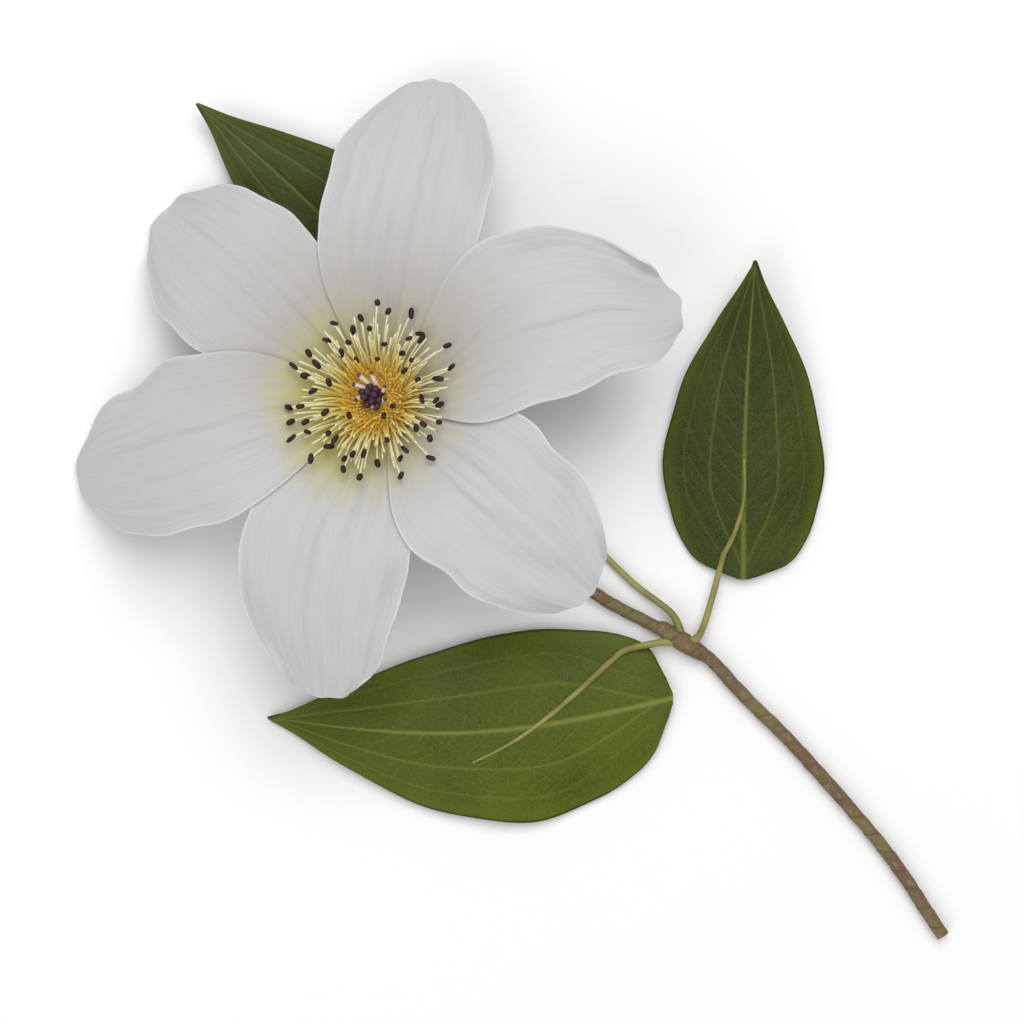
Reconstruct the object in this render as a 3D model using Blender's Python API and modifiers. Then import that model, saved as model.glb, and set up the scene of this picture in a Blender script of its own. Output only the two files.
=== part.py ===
"""A white clematis flower, picked with its stalk and the three leaves of one joint.

It lies on a flat surface, +Z up, with the bloom face up and its far petal tips
touching the surface. The origin is the bottom centre of the whole flower.
Lengths are in millimetres in the tables and in metres in the model.
"""

import math
import random

import bmesh
import bpy
from mathutils import Matrix, Vector

MM = 0.001

# Places, all on the surface that the flower lies on, measured from the bloom's centre.
BLOOM_FROM_ORIGIN = (-21.7, 17.95)
BLOOM_HEIGHT = 16.2
BLOOM_TILT = 12.0  # degrees that the bloom's axis leans away from the stalk
STALK_HEADING = -42.4  # degrees, from the bloom's centre down to the joint

# Petals: name, heading in degrees, length, width, how far the tip arches back down, and
# how far the middle bows to the left of the heading.
PETALS = (
    ("petal_top", 81.0, 54.5, 27.0, 9.9, 0.0),
    ("petal_upper_right", 17.5, 51.0, 28.0, 7.9, 3.6),
    ("petal_lower_right", -42.0, 47.5, 27.5, 5.4, 0.0),
    ("petal_bottom", -100.5, 48.5, 27.5, 8.4, -2.2),
    ("petal_left", -168.5, 53.5, 28.0, 15.8, 1.4),
    ("petal_upper_left", 138.5, 51.0, 26.5, 12.3, 0.0),
)
PETAL_THICK = 0.7
PETAL_ROOT = 2.9  # radius where a petal starts, beside the collar's rim
PETAL_ROOT_DROP = 1.6
BOWL_DEPTH = 8.5  # how far the petals rise together round the stamens
BOWL_RADIUS = 28.0  # radius where they have risen all the way
PETAL_FREE = 0.35  # share of a petal's length where it leaves the bowl and starts to arch
PETAL_ARCH = 2.2  # power of the curve that bends the tip down
PETAL_CUP = 1.2  # how far its long edges hang below its middle
PETAL_TIP_ROUND = 0.06
PETAL_OUTLINE = (
    (0, 0.07), (0.15, 0.33), (0.3, 0.63), (0.45, 0.88), (0.62, 1), (0.8, 0.92), (0.91, 0.75), (1, 0.49),
)
CLAW_SLOPE = 0.49  # half width that a petal may have for each millimetre of radius
PETAL_ROWS, PETAL_COLUMNS = 12, 8

# Receptacle, collar and pistil: radius and height along the bloom's axis.
RECEPTACLE_PROFILE = (
    (0, 2.1), (3.2, 2.0), (5.8, 1.8), (6.4, 1.4), (6.0, 1.0), (2.0, 0.9), (2.0, -1.1), (0, -1.1),
)
COLLAR_PROFILE = (
    (0, -1.4), (2.1, -1.4), (2.45, -2.0), (2.2, -4.0), (1.75, -6.6), (1.35, -8.5), (0, -8.5),
)
TURNED_STEPS = 20
CROWN_BASE = 2.4  # height of the underside of the stamens and the pistil

# Stamen whorls: name, count, inner and outer radius of the ring, reach and height of the tips.
WHORLS = (
    ("stamens_outer", 22, 5.2, 6.3, 12.6, 5.4),
    ("stamens_middle", 18, 3.9, 4.9, 9.6, 6.8),
    ("stamens_inner", 12, 2.6, 3.6, 6.6, 7.4),
)
RING_HEIGHT = 0.9
FILAMENT_HALF = 0.24
ANTHER_HALF = 0.55
ANTHER_LENGTH = 1.9
WHORL_SEED = 7

PISTIL_RADIUS = 2.0
PISTIL_HEIGHT = 2.2
STYLE_COUNT = 6
STYLE_LENGTH = 3.4
STYLE_HALF = 0.4
STYLE_BED = 0.7  # radius of the flat middle that the styles stand round
STYLE_SPLAY = 0.3
BED_MARGIN = 0.2  # width left round the foot of each filament and style

# Stalks: radii, and routes from the bloom's centre.
STALK_RADIUS = 1.1
UPPER_ROUTE = ((23.0, -21.0), (35.4, -31.4), (46.4, -37.3))
LOWER_ROUTE = ((53.6, -41.6), (60.4, -48.6), (70.1, -58.4), (83.8, -74.2), (93.5, -88.5))
KNUCKLE_ENDS = ((46.7, -37.5), (53.3, -41.4))
KNUCKLE_RADIUS = 1.9
LEAF_STALK_RADIUS = 0.6
GAP = 0.3

# Leaves: blade base and tip, width, sideways bow, and heights of the midrib from base to tip.
LEAVES = {
    "leaf_lower": ((48.5, -48.8), (-19.0, -52.3), 31.6, 3.9, (1.6, 3.0, 3.4, 2.2, 0.5)),
    "leaf_right": ((60.2, -29.2), (61.8, 23.5), 26.7, 0.6, (1.4, 2.3, 2.9, 3.8, 5.8)),
    "leaf_behind": ((17.6, -3.0), (-30.5, 49.7), 29.0, -3.0, (0.9, 0.8, 0.8, 1.6, 3.4)),
}
LEAF_THICK = 0.8
LEAF_OUTLINE = ((0, 0.3), (0.06, 0.6), (0.18, 0.87), (0.38, 1), (0.62, 0.78), (0.82, 0.38), (1, 0.03))
LEAF_BASE_ROUND = 0.025
LEAF_EDGE_DROP = {"leaf_lower": 2.4, "leaf_right": 1.9, "leaf_behind": 0.2}
LEAF_ROWS, LEAF_COLUMNS = 14, 6

# Leaf stalks that lie on a blade: where they start, and stations (along, across) on the blade.
RIDING_STALKS = {
    "leaf_stalk_lower": ("leaf_lower", (45.9, -39.7), ((0.1, -0.8), (0.22, -0.35), (0.34, 0.0), (0.5, 0.35))),
    "leaf_stalk_right": ("leaf_right", (53.1, -37.9), ((0.06, 0.4), (0.14, 0.15), (0.25, 0.0), (0.38, 0.0))),
}
BEHIND_ROUTE = ((48.3, -34.9), (41.0, -29.0), (30.5, -18.0), (21.0, -6.6), (18.1, -3.5))

COLOURS = {
    "petal": ((0.80, 0.79, 0.81), 0.6),
    "receptacle": ((0.52, 0.42, 0.10), 0.6),
    "stamen": ((0.74, 0.62, 0.30), 0.5),
    "pistil": ((0.06, 0.03, 0.05), 0.5),
    "collar": ((0.78, 0.46, 0.12), 0.5),
    "stalk": ((0.15, 0.11, 0.06), 0.7),
    "leaf_stalk": ((0.26, 0.27, 0.06), 0.6),
    "leaf": ((0.07, 0.12, 0.02), 0.45),
}


def clear_scene():
    for old in list(bpy.data.objects):
        bpy.data.objects.remove(old)


def make_material(name):
    """A plain material in one part's colour."""
    colour, roughness = COLOURS[name]
    material = bpy.data.materials.new(name)
    material.use_nodes = True
    shader = material.node_tree.nodes["Principled BSDF"]
    shader.inputs["Base Color"].default_value = (*colour, 1)
    shader.inputs["Roughness"].default_value = roughness
    shader.inputs["Metallic"].default_value = 0
    return material


def smooth_through(stations, at):
    """The height at one place of a smooth curve through (place, height) stations."""
    last = len(stations) - 2
    i = max(k for k in range(last + 1) if k == 0 or stations[k][0] <= at)
    (a, start), (b, end) = stations[i], stations[i + 1]
    before = stations[max(i - 1, 0)]
    after = stations[min(i + 2, last + 1)]
    slope_in = (end - before[1]) / (b - before[0]) * (b - a)
    slope_out = (after[1] - start) / (after[0] - a) * (b - a)
    t = (at - a) / (b - a)
    return (
        (2 * t**3 - 3 * t**2 + 1) * start
        + (t**3 - 2 * t**2 + t) * slope_in
        + (3 * t**2 - 2 * t**3) * end
        + (t**3 - t**2) * slope_out
    )


def smooth_route(points, each):
    """A smooth line through 3-D points, with a few points to each stretch."""
    line = []
    steps = (len(points) - 1) * each
    for k in range(steps + 1):
        at = k / each
        line.append(Vector([smooth_through(list(enumerate(along)), at) for along in zip(*points)]))
    return line


def shaded(mesh):
    mesh.shade_smooth()
    mesh.set_sharp_from_angle(angle=math.radians(40))


def add_object(name, data, material, parent, collection):
    piece = bpy.data.objects.new(name, data)
    data.materials.append(material)
    piece.parent = parent
    collection.objects.link(piece)
    return piece


def sheet_mesh(name, rows, columns, surface):
    """An open sheet: a flat grid whose points are placed by surface(along, across)."""
    shape = bmesh.new()
    bmesh.ops.create_grid(shape, x_segments=rows, y_segments=columns, size=1)
    for vert in shape.verts:
        vert.co = surface((vert.co.x + 1) / 2, vert.co.y) * MM
    bmesh.ops.recalc_face_normals(shape, faces=shape.faces)
    mesh = bpy.data.meshes.new(name)
    shape.to_mesh(mesh)
    shape.free()
    mesh.shade_smooth()
    return mesh


def thicken(piece, thickness):
    wall = piece.modifiers.new("thickness", "SOLIDIFY")
    wall.thickness = thickness * MM
    wall.offset = 0


def petal_surface(length, width, drop, bow):
    """A petal along +X: a narrow claw, a broad blade and a round tip that arches down."""
    reach = length - PETAL_ROOT

    def surface(along, across):
        out = PETAL_ROOT + reach * (along - PETAL_TIP_ROUND * along**4 * across**2)
        half = min(width / 2 * smooth_through(PETAL_OUTLINE, along), out * CLAW_SLOPE - GAP / 2)
        left = half * across + bow * math.sin(math.pi * along)
        bowl = BOWL_DEPTH * math.sin(math.pi / 2 * min((out - PETAL_ROOT) / (BOWL_RADIUS - PETAL_ROOT), 1))
        bend = drop * max((along - PETAL_FREE) / (1 - PETAL_FREE), 0) ** PETAL_ARCH
        cup = PETAL_CUP * across**2 * math.sin(math.pi * along)
        return Vector((out, left, bowl - bend - cup - PETAL_ROOT_DROP))

    return surface


def make_petals(materials, bloom, collection):
    for name, heading, length, width, drop, bow in PETALS:
        surface = petal_surface(length, width, drop, bow)
        mesh = sheet_mesh(name, PETAL_ROWS, PETAL_COLUMNS, surface)
        petal = add_object(name, mesh, materials["petal"], bloom, collection)
        petal.rotation_euler.z = math.radians(heading)
        thicken(petal, PETAL_THICK)


def make_turned(name, profile, material, parent, collection):
    """A profile of (radius, height) points, turned about the parent's axis."""
    mesh = bpy.data.meshes.new(name)
    points = [(radius * MM, 0, height * MM) for radius, height in profile]
    mesh.from_pydata(points, [(i, i + 1) for i in range(len(points) - 1)], [])
    turned = add_object(name, mesh, material, parent, collection)
    screw = turned.modifiers.new("turn", "SCREW")
    screw.steps = TURNED_STEPS
    screw.render_steps = TURNED_STEPS
    screw.use_merge_vertices = True
    screw.merge_threshold = 0.00001
    screw.use_smooth_shade = True
    return turned


def grow(shape, face, stations, across):
    """Extrude a four-sided face through stations of (place, direction, two half widths)."""
    other = face.normal.cross(across)
    for place, direction, half_across, half_other in stations:
        face = bmesh.ops.extrude_discrete_faces(shape, faces=[face])["faces"][0]
        centre = face.calc_center_median()
        turned = direction.cross(across).normalized()
        for vert in face.verts:
            side = math.copysign(half_across, (vert.co - centre).dot(across))
            turn = math.copysign(half_other, (vert.co - centre).dot(other))
            vert.co = place + across * side + turned * turn
        other = turned


def ring_shape(count, inner, outer, low, height):
    """A flat ring whose top has one four-sided face for each stamen."""
    shape = bmesh.new()
    bmesh.ops.create_cone(
        shape, cap_ends=True, segments=count, radius1=outer * MM, radius2=outer * MM, depth=height * MM,
        matrix=Matrix.Translation((0, 0, (low + height / 2) * MM)),
    )
    caps = [face for face in shape.faces if len(face.verts) == count]
    for cap in caps:
        bmesh.ops.inset_region(shape, faces=[cap], thickness=(outer - inner) * MM)
    bmesh.ops.delete(shape, geom=caps, context="FACES_ONLY")
    rims = [edge for edge in shape.edges if edge.is_boundary]
    bmesh.ops.bridge_loops(shape, edges=rims)
    bmesh.ops.recalc_face_normals(shape, faces=shape.faces)
    return shape


def stamen_stations(foot, heading, reach, top, chance):
    """Stations of one stamen: a thin filament that leans out, then a fat anther."""
    out = Vector((math.cos(heading), math.sin(heading), 0))
    reach *= chance.uniform(0.9, 1.1)
    top *= chance.uniform(0.9, 1.06)
    end = out * reach * MM + Vector((0, 0, (CROWN_BASE + top) * MM))
    bend = out * (foot.length * 0.55 + reach * MM * 0.3) + Vector((0, 0, end.z * 0.82))
    lean = (end - bend).normalized()
    thin = FILAMENT_HALF * MM
    middle = foot.lerp(bend, 0.7).lerp(bend.lerp(end, 0.7), 0.5)
    up = Vector((0, 0, 1))
    stations = [
        (foot.lerp(bend, 0.35), up + out * 0.2, thin, thin),
        (middle, lean + up, thin, thin),
        (end, lean, thin, thin),
    ]
    fat = ANTHER_HALF * MM
    for share, size in ((0.15, 0.8), (0.5, 1.0), (0.85, 0.85), (1.0, 0.4)):
        stations.append((end + lean * ANTHER_LENGTH * MM * share, lean, fat * size, fat * size))
    return stations


def mesh_from(shape, name):
    bmesh.ops.recalc_face_normals(shape, faces=shape.faces)
    mesh = bpy.data.meshes.new(name)
    shape.to_mesh(mesh)
    shape.free()
    shaded(mesh)
    return mesh


def make_whorls(materials, bloom, collection):
    """Three rings of stamens, one inside the other on the receptacle."""
    chance = random.Random(WHORL_SEED)
    for name, count, inner, outer, reach, top in WHORLS:
        shape = ring_shape(count, inner, outer, CROWN_BASE, RING_HEIGHT)
        roof = [f for f in shape.faces if f.normal.z > 0.9]
        bmesh.ops.inset_individual(shape, faces=roof, thickness=BED_MARGIN * MM)
        for face in roof:
            foot = face.calc_center_median()
            heading = math.atan2(foot.y, foot.x)
            across = Vector((-math.sin(heading), math.cos(heading), 0))
            grow(shape, face, stamen_stations(foot, heading, reach, top, chance), across)
        add_object(name, mesh_from(shape, name), materials["stamen"], bloom, collection)


def make_pistil(materials, bloom, collection):
    """A short boss in the middle of the bloom with a tuft of styles."""
    shape = bmesh.new()
    bmesh.ops.create_cone(
        shape, cap_ends=True, segments=STYLE_COUNT, radius1=PISTIL_RADIUS * MM,
        radius2=PISTIL_RADIUS * MM, depth=PISTIL_HEIGHT * MM,
        matrix=Matrix.Translation((0, 0, (CROWN_BASE + PISTIL_HEIGHT / 2) * MM)),
    )
    top = [face for face in shape.faces if face.normal.z > 0.9]
    bmesh.ops.inset_region(shape, faces=top, thickness=(PISTIL_RADIUS - STYLE_BED) * MM)
    roof = [face for face in shape.faces if face.normal.z > 0.9 and len(face.verts) == 4]
    bmesh.ops.inset_individual(shape, faces=roof, thickness=BED_MARGIN * MM)
    up = Vector((0, 0, 1))
    for face in roof:
        foot = face.calc_center_median()
        heading = math.atan2(foot.y, foot.x)
        out = Vector((math.cos(heading), math.sin(heading), 0))
        across = Vector((-out.y, out.x, 0))
        stations = []
        for share, size in ((0.4, 1.0), (0.8, 0.9), (1.0, 0.5)):
            place = foot + (up * share + out * STYLE_SPLAY * share**2) * STYLE_LENGTH * MM
            half = STYLE_HALF * size * MM
            stations.append((place, up + out * STYLE_SPLAY * share, half, half))
        grow(shape, face, stations, across)
    add_object("pistil", mesh_from(shape, "pistil"), materials["pistil"], bloom, collection)


def make_tube(name, line, radius, material, parent, collection, thin_end=1.0):
    """A round stalk along a line of points, which may thin towards its last point."""
    curve = bpy.data.curves.new(name, "CURVE")
    curve.dimensions = "3D"
    curve.bevel_depth = radius * MM
    curve.bevel_resolution = 1
    curve.use_fill_caps = True
    spline = curve.splines.new("POLY")
    spline.points.add(len(line) - 1)
    for i, place in enumerate(line):
        spline.points[i].co = (*(place * MM), 1)
        spline.points[i].radius = 1 + (thin_end - 1) * (i / (len(line) - 1)) ** 2
    return add_object(name, curve, material, parent, collection)


def bloom_matrix():
    """The bloom's place: its axis leans straight away from the stalk."""
    away = math.radians(STALK_HEADING + 180)
    tilt_axis = Vector((-math.sin(away), math.cos(away), 0))
    turn = Matrix.Rotation(math.radians(BLOOM_TILT), 4, tilt_axis)
    return Matrix.Translation((0, 0, BLOOM_HEIGHT * MM)) @ turn


def neck_line(bloom):
    """The bend under the collar, from the bloom's axis down to the surface, as an arc."""
    top = bloom @ Vector((0, 0, (COLLAR_PROFILE[-1][1] - GAP) * MM)) / MM
    steep = math.radians(90 - BLOOM_TILT)
    heading = math.radians(STALK_HEADING)
    ahead = Vector((math.cos(heading), math.sin(heading), 0))
    bend = (top.z - STALK_RADIUS) / (1 - math.cos(steep))
    line = []
    for k in range(7):
        angle = steep * (1 - k / 6)
        run = bend * (math.sin(steep) - math.sin(angle))
        line.append(Vector((top.x, top.y, STALK_RADIUS + bend * (1 - math.cos(angle)))) + ahead * run)
    return line


def make_stalks(materials, bloom, root, collection):
    neck = neck_line(bloom)
    floor = [Vector((x, y, STALK_RADIUS)) for x, y in UPPER_ROUTE]
    upper = neck + smooth_route([neck[-1], *floor], 4)[1:]
    make_tube("upper_stalk", upper, STALK_RADIUS, materials["stalk"], root, collection)
    lower = smooth_route([Vector((x, y, STALK_RADIUS)) for x, y in LOWER_ROUTE], 5)
    make_tube("lower_stalk", lower, STALK_RADIUS, materials["stalk"], root, collection)


def make_knuckle(materials, root, collection):
    """The swollen joint between the two stalks, where the leaves grow."""
    start, end = (Vector((x, y, KNUCKLE_RADIUS)) for x, y in KNUCKLE_ENDS)
    length = (end - start).length
    profile = [(0, length), (1.1, length), (1.6, length * 0.8), (KNUCKLE_RADIUS, length / 2)]
    profile += [(1.6, length * 0.2), (1.1, 0), (0, 0)]
    knuckle = make_turned("node_knuckle", profile, materials["stalk"], root, collection)
    knuckle.rotation_mode = "QUATERNION"
    knuckle.rotation_quaternion = (end - start).to_track_quat("Z", "Y")
    knuckle.location = start * MM


def leaf_surface(name):
    """A blade from its base to its tip, along a midrib that bows sideways."""
    base, tip, width, bow, heights = LEAVES[name]
    base, tip = Vector((*base, 0)), Vector((*tip, 0))
    ahead = (tip - base).normalized()
    left = Vector((-ahead.y, ahead.x, 0))
    length = (tip - base).length
    lift = [(i / (len(heights) - 1), height) for i, height in enumerate(heights)]

    def surface(along, across):
        run = length * (along + LEAF_BASE_ROUND * across**2 * (1 - along) ** 4)
        side = width / 2 * smooth_through(LEAF_OUTLINE, along) * across + bow * math.sin(math.pi * along)
        drop = LEAF_EDGE_DROP[name] * across**2 * math.sin(math.pi * min(along + 0.12, 1))
        return base + ahead * run + left * side + Vector((0, 0, smooth_through(lift, along) - drop))

    return surface


def make_leaves(materials, root, collection):
    for name in LEAVES:
        mesh = sheet_mesh(name, LEAF_ROWS, LEAF_COLUMNS, leaf_surface(name))
        leaf = add_object(name, mesh, materials["leaf"], root, collection)
        thicken(leaf, LEAF_THICK)


def make_leaf_stalks(materials, root, collection):
    """Two leaf stalks lie along their blades, and one ends at its blade's base."""
    clear = LEAF_THICK / 2 + GAP + LEAF_STALK_RADIUS
    for name, (leaf, start, stations) in RIDING_STALKS.items():
        surface = leaf_surface(leaf)
        points = [Vector((*start, KNUCKLE_RADIUS + 0.6))]
        points += [surface(along, across) + Vector((0, 0, clear)) for along, across in stations]
        line = smooth_route(points, 3)
        make_tube(name, line, LEAF_STALK_RADIUS, materials["leaf_stalk"], root, collection, thin_end=0.4)
    heights = (KNUCKLE_RADIUS, 0.9, 0.7, 0.8, 1.0)
    line = smooth_route([Vector((x, y, z)) for (x, y), z in zip(BEHIND_ROUTE, heights)], 4)
    make_tube("leaf_stalk_behind", line, LEAF_STALK_RADIUS, materials["leaf_stalk"], root, collection)


def main():
    clear_scene()
    collection = bpy.data.collections.new("clematis_flower")
    bpy.context.scene.collection.children.link(collection)
    materials = {name: make_material(name) for name in COLOURS}

    root = bpy.data.objects.new("flower_on_surface", None)
    collection.objects.link(root)
    root.location = Vector((*BLOOM_FROM_ORIGIN, 0)) * MM
    bloom = bpy.data.objects.new("bloom_axis", None)
    collection.objects.link(bloom)
    bloom.parent = root
    bloom.matrix_local = bloom_matrix()

    make_petals(materials, bloom, collection)
    make_turned("receptacle", RECEPTACLE_PROFILE, materials["receptacle"], bloom, collection)
    make_turned("collar", COLLAR_PROFILE, materials["collar"], bloom, collection)
    make_whorls(materials, bloom, collection)
    make_pistil(materials, bloom, collection)
    make_stalks(materials, bloom_matrix(), root, collection)
    make_knuckle(materials, root, collection)
    make_leaves(materials, root, collection)
    make_leaf_stalks(materials, root, collection)
    bpy.context.view_layer.update()


main()
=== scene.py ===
# %% [markdown]
# # A white clematis flower, laid on a table
#
# The flower was picked with its stalk and the three leaves of one joint. A plain
# model of every part is already there, and it fixes where each part is. This
# lesson gives each part its fine shape and its finish: pressed fabric petals,
# moulded stamens, taped stalks and waxy leaves.

import math
import random

import bpy
import numpy as np
from mathutils import Matrix, Vector, noise


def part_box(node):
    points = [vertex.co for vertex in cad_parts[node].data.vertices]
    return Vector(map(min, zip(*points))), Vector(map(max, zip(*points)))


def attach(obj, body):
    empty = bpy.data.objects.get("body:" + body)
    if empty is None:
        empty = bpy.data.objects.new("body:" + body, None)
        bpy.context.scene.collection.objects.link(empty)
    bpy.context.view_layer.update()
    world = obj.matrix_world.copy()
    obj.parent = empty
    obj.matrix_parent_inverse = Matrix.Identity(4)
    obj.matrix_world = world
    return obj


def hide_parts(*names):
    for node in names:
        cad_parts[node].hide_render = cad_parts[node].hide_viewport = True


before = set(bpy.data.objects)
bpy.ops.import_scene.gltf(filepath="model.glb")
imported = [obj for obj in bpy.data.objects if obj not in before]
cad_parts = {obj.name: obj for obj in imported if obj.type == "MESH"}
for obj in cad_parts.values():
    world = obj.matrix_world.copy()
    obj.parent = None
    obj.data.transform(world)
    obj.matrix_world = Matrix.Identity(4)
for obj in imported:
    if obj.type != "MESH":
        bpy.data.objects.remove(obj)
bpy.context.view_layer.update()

# %% [markdown]
# ## Places
#
# Everything here is worked out in millimetres from the middle of the bloom, as a
# maker would measure it, and turned into metres at the end. The bloom's axis
# leans away from its stalk, so it has a matrix of its own.

# %% The bloom's place and lean
MM = 0.001
BLOOM_MIDDLE = Vector((-21.7, 17.95, 0))  # straight below the bloom, on the table
BLOOM_HEIGHT = 16.2
BLOOM_LEAN = math.radians(12)
STALK_HEADING = math.radians(-42.4)

lean_axis = Vector((math.sin(STALK_HEADING), -math.cos(STALK_HEADING), 0))
to_bloom = Matrix.Translation(BLOOM_MIDDLE + Vector((0, 0, BLOOM_HEIGHT)))
to_bloom @= Matrix.Rotation(BLOOM_LEAN, 4, lean_axis)
bloom_centre = to_bloom.translation * MM
bloom_axis = (to_bloom.to_3x3() @ Vector((0, 0, 1))).normalized()

low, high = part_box("receptacle")
print("bloom's middle and the button's box, mm:", bloom_centre / MM, (low + high) / 2 / MM)


# %% [markdown]
# ## Curves through a few stations
#
# Outlines and routes are drawn as a draughtsman draws them: a few stations, and
# a smooth line through them.

# %% Smooth lines
def smooth_through(stations, at):
    """The value at one place of a smooth line through (place, value) stations."""
    last = len(stations) - 2
    i = max(k for k in range(last + 1) if k == 0 or stations[k][0] <= at)
    (a, start), (b, end) = stations[i], stations[i + 1]
    before, after = stations[max(i - 1, 0)], stations[min(i + 2, last + 1)]
    slope_in = (end - before[1]) / (b - before[0]) * (b - a)
    slope_out = (after[1] - start) / (after[0] - a) * (b - a)
    t = (at - a) / (b - a)
    return (
        (2 * t**3 - 3 * t**2 + 1) * start
        + (t**3 - 2 * t**2 + t) * slope_in
        + (3 * t**2 - 2 * t**3) * end
        + (t**3 - t**2) * slope_out
    )


def smooth_route(points, each):
    """A smooth line through 3-D points, with a few points to each stretch."""
    steps = (len(points) - 1) * each
    return [
        Vector([smooth_through(list(enumerate(values)), k / each) for values in zip(*points)])
        for k in range(steps + 1)
    ]


def ease(value, low, high):
    """0 up to low, 1 from high on, and smooth between them."""
    t = min(max((value - low) / (high - low), 0), 1)
    return t * t * (3 - 2 * t)


def at_least(value, lowest, blend=0.5):
    """The value, bent smoothly so that it never falls below the lowest one."""
    above = (value - lowest) / blend
    return value if above > 20 else lowest + blend * math.log1p(math.exp(above))


def lesser(first, second, power=8):
    """The smaller of two lengths, rounded off where they cross."""
    return (first**-power + second**-power) ** (-1 / power)


# %% [markdown]
# ## Working with the operators
#
# Blender's operators act on what is selected, so a new piece is always started
# with nothing selected. Petals, leaves and stalks all start as a flat grid: no
# row of hand edits gives a petal's grooves, so each point of the grid is moved
# to its place by a rule. The grid's own UV map stays on it, and the finishes use
# it to follow the petal's length and width.

# %% Helpers for meshes
def deselect_all():
    if bpy.context.object and bpy.context.object.mode != "OBJECT":
        bpy.ops.object.mode_set(mode="OBJECT")
    bpy.ops.object.select_all(action="DESELECT")


def named(name):
    """Names the piece that an operator has just made."""
    piece = bpy.context.object
    piece.name = piece.data.name = name
    return piece


def only(piece):
    deselect_all()
    piece.select_set(True)
    bpy.context.view_layer.objects.active = piece


def shaped_grid(name, rows, columns, place):
    """A flat grid whose points are moved to place(along, across): 0 to 1, and -1 to 1."""
    deselect_all()
    bpy.ops.mesh.primitive_grid_add(x_subdivisions=rows, y_subdivisions=columns, size=2)
    piece = named(name)
    for vert in piece.data.vertices:
        vert.co = place((vert.co.x + 1) / 2, vert.co.y)
    return piece


def thicken(piece, thickness, second_finish_under=False):
    """Gives an open sheet its thickness, and its underside its second finish if that is asked."""
    only(piece)
    wall = piece.modifiers.new("thickness", "SOLIDIFY")
    wall.thickness = thickness * MM
    wall.offset = 0
    wall.material_offset = 1 if second_finish_under else 0
    bpy.ops.object.modifier_apply(modifier=wall.name)


def write_on(piece, attribute, value):
    """Stores value(point) on every point of a mesh, for its finish to read."""
    layer = piece.data.attributes.new(attribute, "FLOAT", "POINT")
    for vert in piece.data.vertices:
        layer.data[vert.index].value = value(vert.co)


def smooth_by(piece, degrees=50):
    only(piece)
    bpy.ops.object.shade_smooth_by_angle(angle=math.radians(degrees))


def finish_piece(piece, nodes=()):
    """Fixes a finished piece to the flower, hides the plain parts it stands for and prints its size.
    """
    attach(piece, "root")
    if nodes:
        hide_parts(*nodes)
    triangles = sum(len(face.vertices) - 2 for face in piece.data.polygons)
    size = [round(side * 1000, 1) for side in piece.dimensions]
    print(f"{piece.name}: {triangles} triangles, {size} mm")


# %% [markdown]
# ## Shader sums
#
# Finishes need a lot of small sums. A socket that is wrapped in this class can
# be used in a Python expression, and each sum adds its own Math node.

# %% A socket for expressions
class Wire:
    """One output of a shader node."""

    def __init__(self, tree, socket):
        self.tree = tree
        self.socket = socket

    def node(self, kind, settings=None, sockets=None, output=0):
        """Adds a node: its settings are set first, then its sockets are filled or linked."""
        made = self.tree.nodes.new(kind)
        for name, value in (settings or {}).items():
            if name == "stops":
                fill_ramp(made.color_ramp, value)
            else:
                setattr(made, name, value)
        for name, value in (sockets or {}).items():
            if isinstance(value, Wire):
                self.tree.links.new(value.socket, made.inputs[name])
            else:
                made.inputs[name].default_value = value
        return Wire(self.tree, made.outputs[output])

    def sum(self, operation, first, second=None):
        sockets = {0: first} if second is None else {0: first, 1: second}
        return self.node("ShaderNodeMath", {"operation": operation}, sockets)

    def vector(self, operation, other=None, output=0):
        """A sum on vectors. Output 1 is for the sums that give a number."""
        sockets = {0: self} if other is None else {0: self, 1: other}
        return self.node("ShaderNodeVectorMath", {"operation": operation}, sockets, output)

    def towards(self, heading):
        """How far a place reaches in one direction, in millimetres."""
        return self.vector("DOT_PRODUCT", heading, output=1) / MM

    def __add__(self, other):
        return self.sum("ADD", self, other)

    def __sub__(self, other):
        return self.sum("SUBTRACT", self, other)

    def __rsub__(self, other):
        return self.sum("SUBTRACT", other, self)

    def __mul__(self, other):
        return self.sum("MULTIPLY", self, other)

    def __truediv__(self, other):
        return self.sum("DIVIDE", self, other)

    __radd__ = __add__
    __rmul__ = __mul__

    def __abs__(self):
        return self.sum("ABSOLUTE", self)

    def fraction(self):
        return self.sum("FRACT", self)

    def ease(self, low, high):
        """0 up to low, 1 from high on, and smooth between them."""
        settings = {"interpolation_type": "SMOOTHSTEP"}
        return self.node("ShaderNodeMapRange", settings, {0: self, 1: low, 2: high, 3: 0.0, 4: 1.0})

    def mix(self, without, coloured):
        """A colour between two, by this wire's value."""
        sockets = {0: self, 6: shade(without), 7: shade(coloured)}
        return self.node("ShaderNodeMix", {"data_type": "RGBA"}, sockets, output=2)

    def bands(self, stops):
        """A colour read from a ramp of (place, colour) stops."""
        return self.node("ShaderNodeValToRGB", {"stops": stops}, {0: self})


def shade(colour):
    return colour if isinstance(colour, Wire) else (*colour, 1)


def fill_ramp(ramp, stops):
    while len(ramp.elements) < len(stops):
        ramp.elements.new(0.5)
    for element, (place, colour) in zip(ramp.elements, stops):
        element.position = place
        element.color = (*colour, 1)


# %% [markdown]
# Every finish is a Principled shader. What is the same all over a surface, such
# as the light that sinks into a petal, is set on the shader itself.

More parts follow.
